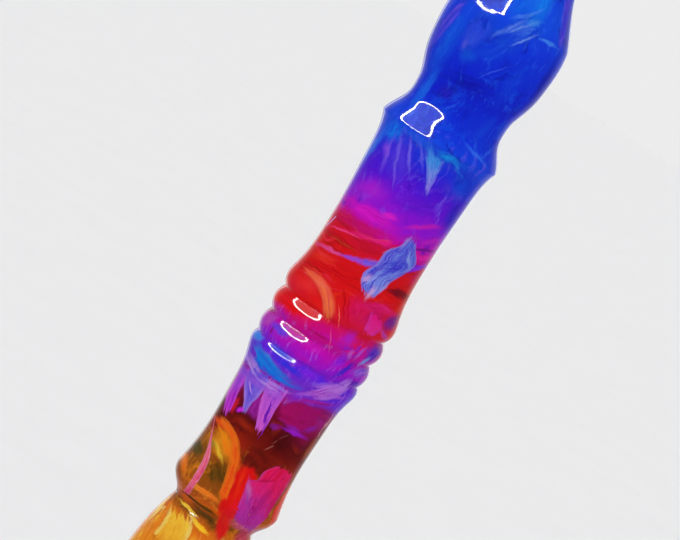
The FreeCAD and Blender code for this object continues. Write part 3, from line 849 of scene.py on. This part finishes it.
def new_material(name):
    """A glossy material, its node graph, its shader and the place on the wand in millimetres."""
    material = bpy.data.materials.new(name)
    material.use_nodes = True
    g = Graph(material.node_tree)
    shader = material.node_tree.nodes["Principled BSDF"]
    place = g.scale(g.node("ShaderNodeTexCoord", output="Object"), 1 / MM)
    smudge = g.noise(place, *SMUDGE_NOISE)
    g.put(shader.inputs["Roughness"], g.spread(smudge, 0.3, 0.7, *ROUGHNESS, "LINEAR"))
    for socket, value in RESIN.items():
        shader.inputs[socket].default_value = value
    return material, g, shader, place


def resin_material(name, low, high, side):
    """Polished swirled resin between two heights, on one side of the wand."""
    material, g, shader, place = new_material(name)
    box = Box(low, high, -HALF_WIDTH, HALF_WIDTH, side)
    colour, sketches = casting_colour(g, place, box)
    g.put(shader.inputs["Base Color"], add_strokes(g, colour, sketches, GLAZES, box))
    return material


def tones(g, value, codes):
    """A ramp of evenly spaced colours."""
    codes = codes.split()
    return g.ramp(value, [(i / (len(codes) - 1), linear(code)) for i, code in enumerate(codes)])


# How far the cloudy noise sways a plume's fibres, and how far it moves its change of tone and its fringe.
SIDE_SWAY = 0.7
REACH_SWAY = 0.5
TONE_SWAY = 0.6
FRINGE_SWAY = 1.2
REACH_FIBRES = 2.0
FIBRE_TONES = (0.3, 0.7)
TIP_TONES = (0.15, 0.95)
FRAYED = (0.3, 0.65)
RAGGEDNESS = 2.2
FRINGE_WIDTH = 0.5
FRINGE_SHARE = 0.75
SEALED_RIM = 0.05


def pigment_material(plume):
    """Opaque pigment in fibres along a plume, which thins out into the casting at its sides and ends."""
    material, g, shader, place = new_material(plume.name + "_pigment")
    across = [x for x, _ in plume.left + plume.right]
    heights = [z for _, z in plume.left + plume.right]
    box = Box(min(heights) - 1, max(heights) + 3, min(across), max(across), plume.side)
    under, sketches = casting_colour(g, place, box)
    reach, side, edge, end = (
        g.node("ShaderNodeAttribute", output="Fac", attribute_name=name) for name in MARKS)
    cloud = g.minus(g.noise(place, *QUICK_NOISE), 0.5)
    seed = plume.left[0][0] * 7.3 + plume.left[0][1]
    sideways = g.times(g.plus(side, g.times(cloud, SIDE_SWAY)), plume.fibres)
    onward = g.times(g.plus(reach, g.times(cloud, REACH_SWAY)), REACH_FIBRES)
    fibres = g.noise(g.join(sideways, onward, seed), *FIBRE_NOISE)
    strong = g.spread(fibres, *FIBRE_TONES, kind="LINEAR")
    drawn = g.spread(g.plus(reach, g.times(cloud, TONE_SWAY)), *TIP_TONES)
    colour = g.mix(drawn, tones(g, strong, plume.root), tones(g, strong, plume.tip))
    ragged = g.math("MULTIPLY_ADD", g.minus(fibres, 0.5), plume.soft * RAGGEDNESS, edge)
    pale = g.spread(g.plus(ragged, g.times(cloud, FRINGE_SWAY)), plume.soft + FRINGE_WIDTH, plume.soft * 0.5)
    colour = g.mix(g.times(pale, FRINGE_SHARE), colour, linear(plume.fringe))
    sides = g.spread(ragged, SEALED_RIM, plume.soft)
    frayed = g.math("MULTIPLY_ADD", g.spread(fibres, *FRAYED), -plume.fray, end)
    ends = g.spread(frayed, SEALED_RIM, 0.35 + plume.fray * 0.3)
    colour = g.mix(g.times(sides, ends), under, colour)
    g.put(shader.inputs["Base Color"], add_strokes(g, colour, sketches, GLAZES, box))
    return material


# ---------------------------------------------------------------- the object

def make_pours():
    """Every pour from the pommel up. A pour ends where its CAD node's rim is."""
    low = 0.0
    for node in POURS:
        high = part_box(node)[1].z / MM
        piece = turned_piece(node, low, high)
        for side, word in ((FRONT, "_resin_front"), (BACK, "_resin_back")):
            piece.data.materials.append(resin_material(node.replace("_pour", word), low, high, side))
        low = high


PLUMES = [Plume(*row) for row in (
    ("gold_fold", ((-7.4, 50.5), (-7, 46), (-7.6, 41)), ((-2.6, 50.6), (-1.2, 46), (-3, 40.6)),
     0.7, 2.5, 6, "f5a014 ffcd3c f0820f", "e66e0f fabe32", "fae178"),
    ("orange_fold", ((3, 49.6), (3.4, 45.6), (2.6, 41)), ((6.2, 50), (7, 46), (6, 40)),
     0.6, 2.5, 4, "e13c14 fa7828", "eb6414 ffaf3c", "f0963c"),
    ("pink_ribbon", ((-8.7, 66.8), (-7.35, 62.7), (-6.6, 59.6), (-6.35, 56), (-6.55, 52.2)),
     ((-8.25, 66.8), (-6.6, 62.8), (-5.2, 59.8), (-4.8, 56.2), (-4.9, 52)),
     0.22, 0.3, 2.4, "c81e32 e63c5a f0788c", "c81e50 eb4678 f596b4", "f08caa"),
    ("scarlet_arch", ((-8.4, 66), (-5.2, 64.3), (-3, 61.4), (-1.9, 58), (-1.2, 53.8)),
     ((-7.8, 67.6), (-4.2, 66.3), (-1.3, 63.4), (0.4, 58.6), (1.2, 53.8)),
     0.9, 1.2, 3.4, "e6320a f5640f e1460a", "e11e08 f05a0f e6280a", "f07814"),
    ("rose_petal", ((5.2, 65), (3.3, 62.6), (3, 60.6), (1.7, 59.9), (2.2, 57), (3, 52)),
     ((8.2, 65.4), (8.5, 62.6), (8.4, 60), (8.3, 57.6), (8.2, 55.4), (7, 51.8)),
     0.3, 0.8, 3.4, "dc0032 f01464 b90041", "821482 b92da5 910a6e", "c83c91"),
    ("magenta_tongue", ((-9.2, 77.4), (-8.9, 73), (-8.6, 70), (-7.4, 66.6)),
     ((-7, 77), (-6.7, 72.4), (-6.4, 69.6), (-6.2, 66.5)),
     0.5, 1.5, 4, "6e28d2 9641dc 7d19c3", "a50acd d73ce1 be0fc8 9b0faf", "d750e6"),
    ("lavender_petal", ((-8.6, 77.6), (-7.2, 73.8), (-5.8, 71), (-5, 68.6)),
     ((-3, 77.4), (-3.4, 73.2), (-3.9, 71), (-3.8, 68.6)),
     0.5, 0.8, 3, "5a37dc 7d5ae6", "5541dc 876ee6", "af82eb"),
    ("twin_tentacle", ((-4, 77.6), (-3.5, 73), (-2.4, 69.8), (-1.3, 66.6)),
     ((0.4, 77.4), (0.1, 72.6), (0.2, 70), (0.1, 66.7)),
     0.4, 1.4, 4, "8228d2 b955dc 8c19b4", "aa1ec3 eb64d7 8219be", "d75fe1"),
    ("plum_lobe", ((-0.3, 73.4), (1.8, 75.7), (4.8, 76.7), (7.6, 77.6)),
     ((0.2, 71), (2.4, 70.8), (4.6, 70.4), (7, 72.6)),
     0.7, 0.9, 2, "96005f aa055f 960055", "960055 a5006e 8c0050", "8c0a78"),
    ("azure_crescent", ((-9.8, 82.2), (-7, 80.4), (-3.6, 79.2), (0, 78.6), (3.2, 79.2)),
     ((-9.8, 79), (-7.2, 76.8), (-4, 75.6), (0.2, 75.9), (3.6, 77.8)),
     1.5, 2.4, 2.4, "0a64e6 148cf0 0a50e1", "006ee6 1482f0 143cdc", "1e3ce1"),
    ("lilac_bead", ((1.6, 78), (3.8, 80), (6.2, 82), (8.2, 85.4)),
     ((4.4, 76.6), (6.6, 78.2), (8.4, 80.6), (9.2, 84.4)),
     0.6, 2.4, 5, "a028c8 c378e6 8c28dc", "6432dc be82f0 7846e1", "aa5ae6"),
    ("orange_arch", ((-9.8, 96.2), (-5.4, 95.8), (-2.2, 94.4), (-0.1, 92), (0.8, 88.8)),
     ((-9.8, 94.6), (-6, 94), (-3.8, 92.5), (-2.3, 90.7), (-0.8, 88.4)),
     0.7, 2.2, 4, "eb3732 fa6e3c f04b37", "eb323c ff7d3c f04b4b", "f04b41"),
    ("magenta_petal", ((4.4, 95.6), (5, 93.4), (5.2, 90.6)), ((7, 95.2), (8.2, 93.2), (7.2, 90.6)),
     0.45, 0.9, 2, "eb0a78 e10a82", "e6148c eb3ca0", "d2289b"),
    ("blue_petal", ((4.2, 110.2), (3.2, 107), (1.5, 104.6), (1.2, 102), (0.2, 99.4), (2.4, 95.6)),
     ((4.8, 110.2), (6.1, 107.8), (7.5, 105.4), (6.6, 103), (5.3, 100.4), (4.1, 95.8)),
     0.4, 1.7, 4, "462dd7 6e82eb 3c32d7 8c9bf0", "3c3cdc 8296f0 4632d2 b9a0eb", "9678e1"),
    ("pink_thread", ((-9.2, 102.6), (-8.8, 104.4), (-8.3, 106.3)),
     ((-8.7, 102.6), (-8.2, 104.2), (-7.8, 106.2)),
     0.15, 0.6, 1, "e68cdc f0b4eb", "f0aae6 fad2f5", "dc5aaa"),
    ("maroon_patch", ((4.6, 100.2), (7, 101), (9.4, 101.2)), ((4.6, 99.2), (7, 98.8), (9.4, 98.9)),
     0.6, 1.6, 3, "8c0019 6e0014", "5a000f 820a23", "96001e"),
    ("lavender_wisp", ((-2.4, 123.4), (-0.2, 120.6), (1, 118.6), (2.4, 115.6)),
     ((2.6, 123.2), (2.7, 120.8), (2.7, 119), (3.1, 115.7)),
     0.4, 1.3, 3, "1478eb 4696f0 2882eb", "6450e6 b496fa 8264eb", "5a64eb"),
    ("cyan_wisp", ((1.6, 122), (3.4, 122.2), (5.6, 121.2), (7, 120.2)),
     ((2.2, 124.4), (3.8, 124.2), (5.8, 123.8), (7.2, 122.6)),
     1, 2.4, 3, "1450e6 2391eb 1e46e1", "1455e6 2396f0 143ce1", "1464e6"),
    ("lilac_patch", ((-6.2, 146.4), (-6, 143.8), (-5.5, 141.4), (-4.5, 138.8)),
     ((-2.4, 147.4), (-1.5, 144.6), (-2.4, 141.8), (-3.4, 138.8)),
     1.2, 2.2, 3, "0f37e1 2850eb 1937e1 3c64f0", "1437e1 325aeb 3c46e1", "1e41e1"),
    ("pale_blue", ((-2.2, 144), (-0.8, 147), (1.2, 150), (3, 151.2)),
     ((2.6, 142.8), (3.6, 145.4), (5.2, 147.6), (6, 148.6)),
     1, 3, 5, "0a32dc 1e50e6 0a32dc", "1450e1 4178f0 1450e1 5a8cf0", "0f41e1"),
    ("violet_bulb", ((-10, 136), (-10.3, 140), (-9.9, 144), (-8.7, 148.6)),
     ((-9, 135.8), (-8.8, 140), (-8.3, 144), (-7.2, 148.2)),
     0.5, 2, 2.4, "3237dc 6450e6", "2832dc 6955eb", "1e32dc"),
    ("violet_shaft", ((8.2, 148), (6.8, 152), (5.4, 156), (4.1, 161.6)),
     ((9.3, 148.8), (8.1, 152.4), (6.5, 156.2), (5, 161.6)),
     0.35, 1.6, 1.5, "321edc 5a46e6", "5032e1 8264f0", "283ce1"),
    ("back_gold", ((-4, 43), (-3.6, 36), (-5, 29)), ((2.4, 43.6), (4.4, 37), (3, 28)),
     0.8, 3, 5, "f0960f ffd746 f5b428", "e1640f faaa28", "ffe18c", BACK),
    ("back_rose", ((-5, 65.6), (-5.6, 61.4), (-3.8, 57.6)), ((0.8, 65.8), (1.8, 61), (-0.6, 57.2)),
     0.4, 1.2, 4, "dc0032 eb145a", "961e8c c850a5", "d2509b", BACK),
    ("back_lavender", ((1, 76), (2.2, 72.6), (3.8, 68.8)), ((7.2, 76), (6.2, 72.4), (4.4, 68.8)),
     0.4, 1.2, 4, "6e64e6 9678f0", "b46ee6 d28cf0", "c8a0f5", BACK),
    ("back_azure", ((-8.4, 80.6), (-4, 78.6), (1.6, 79.6)), ((-8.6, 78.4), (-4, 76.2), (2, 77.6)),
     0.5, 1.4, 2.4, "148cf0 32aaf5", "0a6ee6 1e96f0", "1e5ae6", BACK),
    ("back_blue_petal", ((-2.6, 110.8), (-4.4, 107), (-4, 103)), ((0.6, 111.2), (2.2, 107), (0.4, 101.6)),
     0.5, 2.2, 4, "4637dc 5a78eb 8c8cf5", "3c46dc 788cf0 e1a5d2", "aa82e1", BACK),
    ("back_orange", ((-8.2, 98.6), (-4.6, 97.6), (-1.6, 94.2)), ((-8, 96.4), (-5.6, 95.2), (-3.4, 92.8)),
     0.4, 1.6, 3, "f0462d ff873c", "f03c3c fa6e3c", "f5783c", BACK),
    ("back_pale_blue", ((-4.6, 139), (-2.4, 143.6), (0.6, 147.2)),
     ((0.8, 138.6), (2.6, 142.6), (4.2, 146.2)),
     0.9, 3, 4.5, "0a2dd7 4678f0", "2864eb 82aafa", "1446e1", BACK),
    ("pommel_orange", ((-6.4, 14.4), (-6.6, 9.6), (-5.4, 4.4)), ((-1, 15), (0.6, 9.6), (-0.6, 3.6)),
     0.8, 2.4, 4, "e6500f fa821e", "e6640f ffb432", "f5a032"),
    ("pommel_rose", ((-1.6, 14.6), (-2.8, 9.6), (-1.4, 4.6)), ((4, 14), (5.4, 9), (4.2, 4.2)),
     0.8, 2.4, 4, "e61428 f03c50", "dc3278 f5783c", "f06450", BACK),
    ("shaft_azure", ((-2.6, 170), (-3.4, 182), (-2.6, 197)), ((-0.6, 171), (-0.4, 184), (-1.4, 196)),
     0.4, 4, 2, "1478f0 46a5fa", "145aeb 3c96f5", "1e64eb"),
    ("shaft_violet", ((-2, 217), (-2.4, 231), (-1.4, 246)), ((0.4, 216), (0.6, 230), (-0.2, 245)),
     0.4, 4, 2, "6e28e1 9650f0", "5a1edc 8c46eb", "6428e1", BACK),
    ("shaft_magenta", ((-0.6, 284), (-0.4, 298), (0.2, 312)), ((1.4, 284), (1.8, 298), (1.2, 311)),
     0.3, 4, 2, "b41ed2 d246dc", "961ed7 be3ce1", "8c1ed7"),
)]


def make_plumes():
    for plume in PLUMES:
        piece = plume_piece(plume)
        piece.data.materials.append(pigment_material(plume))


# ---------------------------------------------------------------- studio

LENS = 139.3
SENSOR = 36.0
CAMERA_X = -3.03
CAMERA_TILT = math.radians(7.06)
CAMERA_ROLL = math.radians(31.24)
NEAR = 0.02
FAR = 50.0


def add_object(name, data):
    thing = bpy.data.objects.new(name, data)
    bpy.context.scene.collection.objects.link(thing)
    return thing


def set_axes(thing, right, up, back):
    """Turn a camera or a lamp so that its own axes lie along these."""
    turn = thing.matrix_world.to_3x3()
    for i in range(3):
        turn[i] = (right[i], up[i], back[i])
    thing.matrix_world = turn.to_4x4()


def make_camera():
    """A camera just left of the sketch point, tipped down and rolled so that the wand leans to the right."""
    data = bpy.data.cameras.new("camera")
    data.lens = LENS
    data.sensor_width = SENSOR
    data.clip_start = NEAR
    data.clip_end = FAR
    camera = add_object("camera", data)
    forward = Vector((0, math.cos(CAMERA_TILT), -math.sin(CAMERA_TILT)))
    level = Vector((1, 0, 0))
    upright = level.cross(forward)
    right = level * math.cos(CAMERA_ROLL) + upright * math.sin(CAMERA_ROLL)
    up = upright * math.cos(CAMERA_ROLL) - level * math.sin(CAMERA_ROLL)
    set_axes(camera, right, up, -forward)
    camera.location = (CAMERA_X * MM, -SIGHT_DISTANCE * MM, SIGHT_HEIGHT * MM)
    bpy.context.scene.camera = camera


# Azimuth 0 is the front and 90 the +X side. Angles are in degrees, distances in metres.
RING_LAMPS = 20
RING_AZIMUTH = -62.0
RING_ELEVATION = 40.0
RING_DISTANCE = 0.55
RING_SIZE = (0.32, 0.2)
RING_WIDTH = 0.03
RING_POWER = 0.45
PANEL_SETBACK = 0.01
PANEL_POWER = 0.7
GRIP_MIDDLE = Vector((0, 0, 0.1))
RIM_AZIMUTHS = (-157, 164)
RIM_ELEVATION = 12
RIM_DISTANCE = 0.9
RIM_SIZE = (0.16, 1.2)
RIM_POWER = 0.5
# Name, azimuth, elevation and strength.
SOFT_LIGHTS = (
    ("key", -40, 40, 1.25),
    ("fill", 65, 15, 0.7),
    ("overhead", 0, 88, 0.4),
    ("behind", 180, 30, 0.7),
)
SOFT_ANGLE = math.radians(50)


def way_to(azimuth, elevation):
    """The way out from the wand to a lamp."""
    a, e = math.radians(azimuth), math.radians(elevation)
    return Vector((math.sin(a) * math.cos(e), -math.cos(a) * math.cos(e), math.sin(e)))


def mirror_light(name, way, distance, size, power, offset=(0.0, 0.0), spin=0.0, shape="RECTANGLE"):
    """A lamp that faces the grip and shows only as a highlight. Offset and spin lie in the lamp's own plane."""
    data = bpy.data.lights.new(name, "AREA")
    data.shape = shape
    data.size, data.size_y = size
    data.energy = power
    lamp = add_object(name, data)
    level = Vector((0, 0, 1)).cross(way).normalized()
    upright = way.cross(level)
    right = level * math.cos(spin) + upright * math.sin(spin)
    set_axes(lamp, right, way.cross(right), way)
    lamp.location = GRIP_MIDDLE + way * distance + level * offset[0] + upright * offset[1]
    lamp.visible_camera = False
    lamp.visible_diffuse = False


def make_ring_lamp():
    """A ring of short strips that leaves thin outlined highlights, with a dim panel inside."""
    way = way_to(RING_AZIMUTH, RING_ELEVATION)
    wide, tall = RING_SIZE
    for i in range(RING_LAMPS):
        turn = 2 * math.pi * i / RING_LAMPS
        offset = (wide * math.cos(turn), tall * math.sin(turn))
        tangent = (-wide * math.sin(turn), tall * math.cos(turn))
        length = math.hypot(*tangent) * 2 * math.pi / RING_LAMPS
        spin = math.atan2(tangent[1], tangent[0])
        mirror_light("ring", way, RING_DISTANCE, (length, RING_WIDTH), RING_POWER, offset, spin)
    size = (2 * wide, 2 * tall)
    mirror_light("ring_panel", way, RING_DISTANCE + PANEL_SETBACK, size, PANEL_POWER, shape="ELLIPSE")


def make_rim_lamps():
    """Tall strips behind the wand, which light its outline."""
    for azimuth in RIM_AZIMUTHS:
        mirror_light("rim", way_to(azimuth, RIM_ELEVATION), RIM_DISTANCE, RIM_SIZE, RIM_POWER)


def soft_light(name, azimuth, elevation, strength):
    """An even soft light from one side, with no highlight of its own."""
    data = bpy.data.lights.new(name, "SUN")
    data.energy = strength
    data.angle = SOFT_ANGLE
    lamp = add_object(name, data)
    lamp.rotation_mode = "QUATERNION"
    lamp.rotation_quaternion = way_to(azimuth, elevation).to_track_quat("Z", "Y")
    lamp.visible_glossy = False


WORLD_LIGHT = 0.38
WORLD_SEEN = 0.46
MIRRORED_BEHIND = 0.5
MIRRORED_FRONT = -0.28


def make_world():
    """A plain white world: bright to the camera, dimmer as light, and for mirrored light bright only behind."""
    world = bpy.data.worlds.new("studio")
    bpy.context.scene.world = world
    world.use_nodes = True
    g = Graph(world.node_tree)
    shader = world.node_tree.nodes["Background"]
    path = world.node_tree.nodes.new("ShaderNodeLightPath")
    g.put(shader.inputs["Color"], (1.0, 1.0, 1.0, 1.0))
    seen = g.math("MULTIPLY_ADD", path.outputs["Is Camera Ray"], WORLD_SEEN, WORLD_LIGHT)
    behind = g.split(g.node("ShaderNodeTexCoord", output="Generated"))[1]
    mirrored = g.math("MULTIPLY_ADD", g.spread(behind, 0.5, 1.0), MIRRORED_BEHIND, MIRRORED_FRONT)
    g.put(shader.inputs["Strength"], g.math("MULTIPLY_ADD", path.outputs["Is Glossy Ray"], mirrored, seen))


FLOOR_RADIUS = 6.0
FLOOR_SIDES = 96
FLOOR_GAP = 0.0002
FLOOR_TONES = ((0.86, 0.86, 0.87, 1), (0.9, 0.9, 0.91, 1))
FLOOR_ROUGHNESS = 0.8


def make_floor():
    """A plain pale disc under the wand."""
    turns = [2 * math.pi * i / FLOOR_SIDES for i in range(FLOOR_SIDES)]
    mesh = bpy.data.meshes.new("floor")
    rim = [(FLOOR_RADIUS * math.cos(turn), FLOOR_RADIUS * math.sin(turn), 0) for turn in turns]
    mesh.from_pydata(rim, [], [tuple(range(FLOOR_SIDES))])
    floor = add_object("floor", mesh)
    floor.location.z = -FLOOR_GAP
    floor.visible_glossy = False
    material = bpy.data.materials.new("floor")
    material.use_nodes = True
    g = Graph(material.node_tree)
    shader = material.node_tree.nodes["Principled BSDF"]
    grain = g.noise(g.node("ShaderNodeTexCoord", output="Object"), *FLOOR_NOISE)
    g.put(shader.inputs["Base Color"], g.mix(grain, *FLOOR_TONES))
    shader.inputs["Roughness"].default_value = FLOOR_ROUGHNESS
    shader.inputs["Specular IOR Level"].default_value = 0.0
    mesh.materials.append(material)


def main():
    make_camera()
    make_pours()
    make_plumes()
    make_ring_lamp()
    make_rim_lamps()
    for light in SOFT_LIGHTS:
        soft_light(*light)
    make_world()
    make_floor()
    bpy.context.scene.view_settings.view_transform = "Standard"


main()
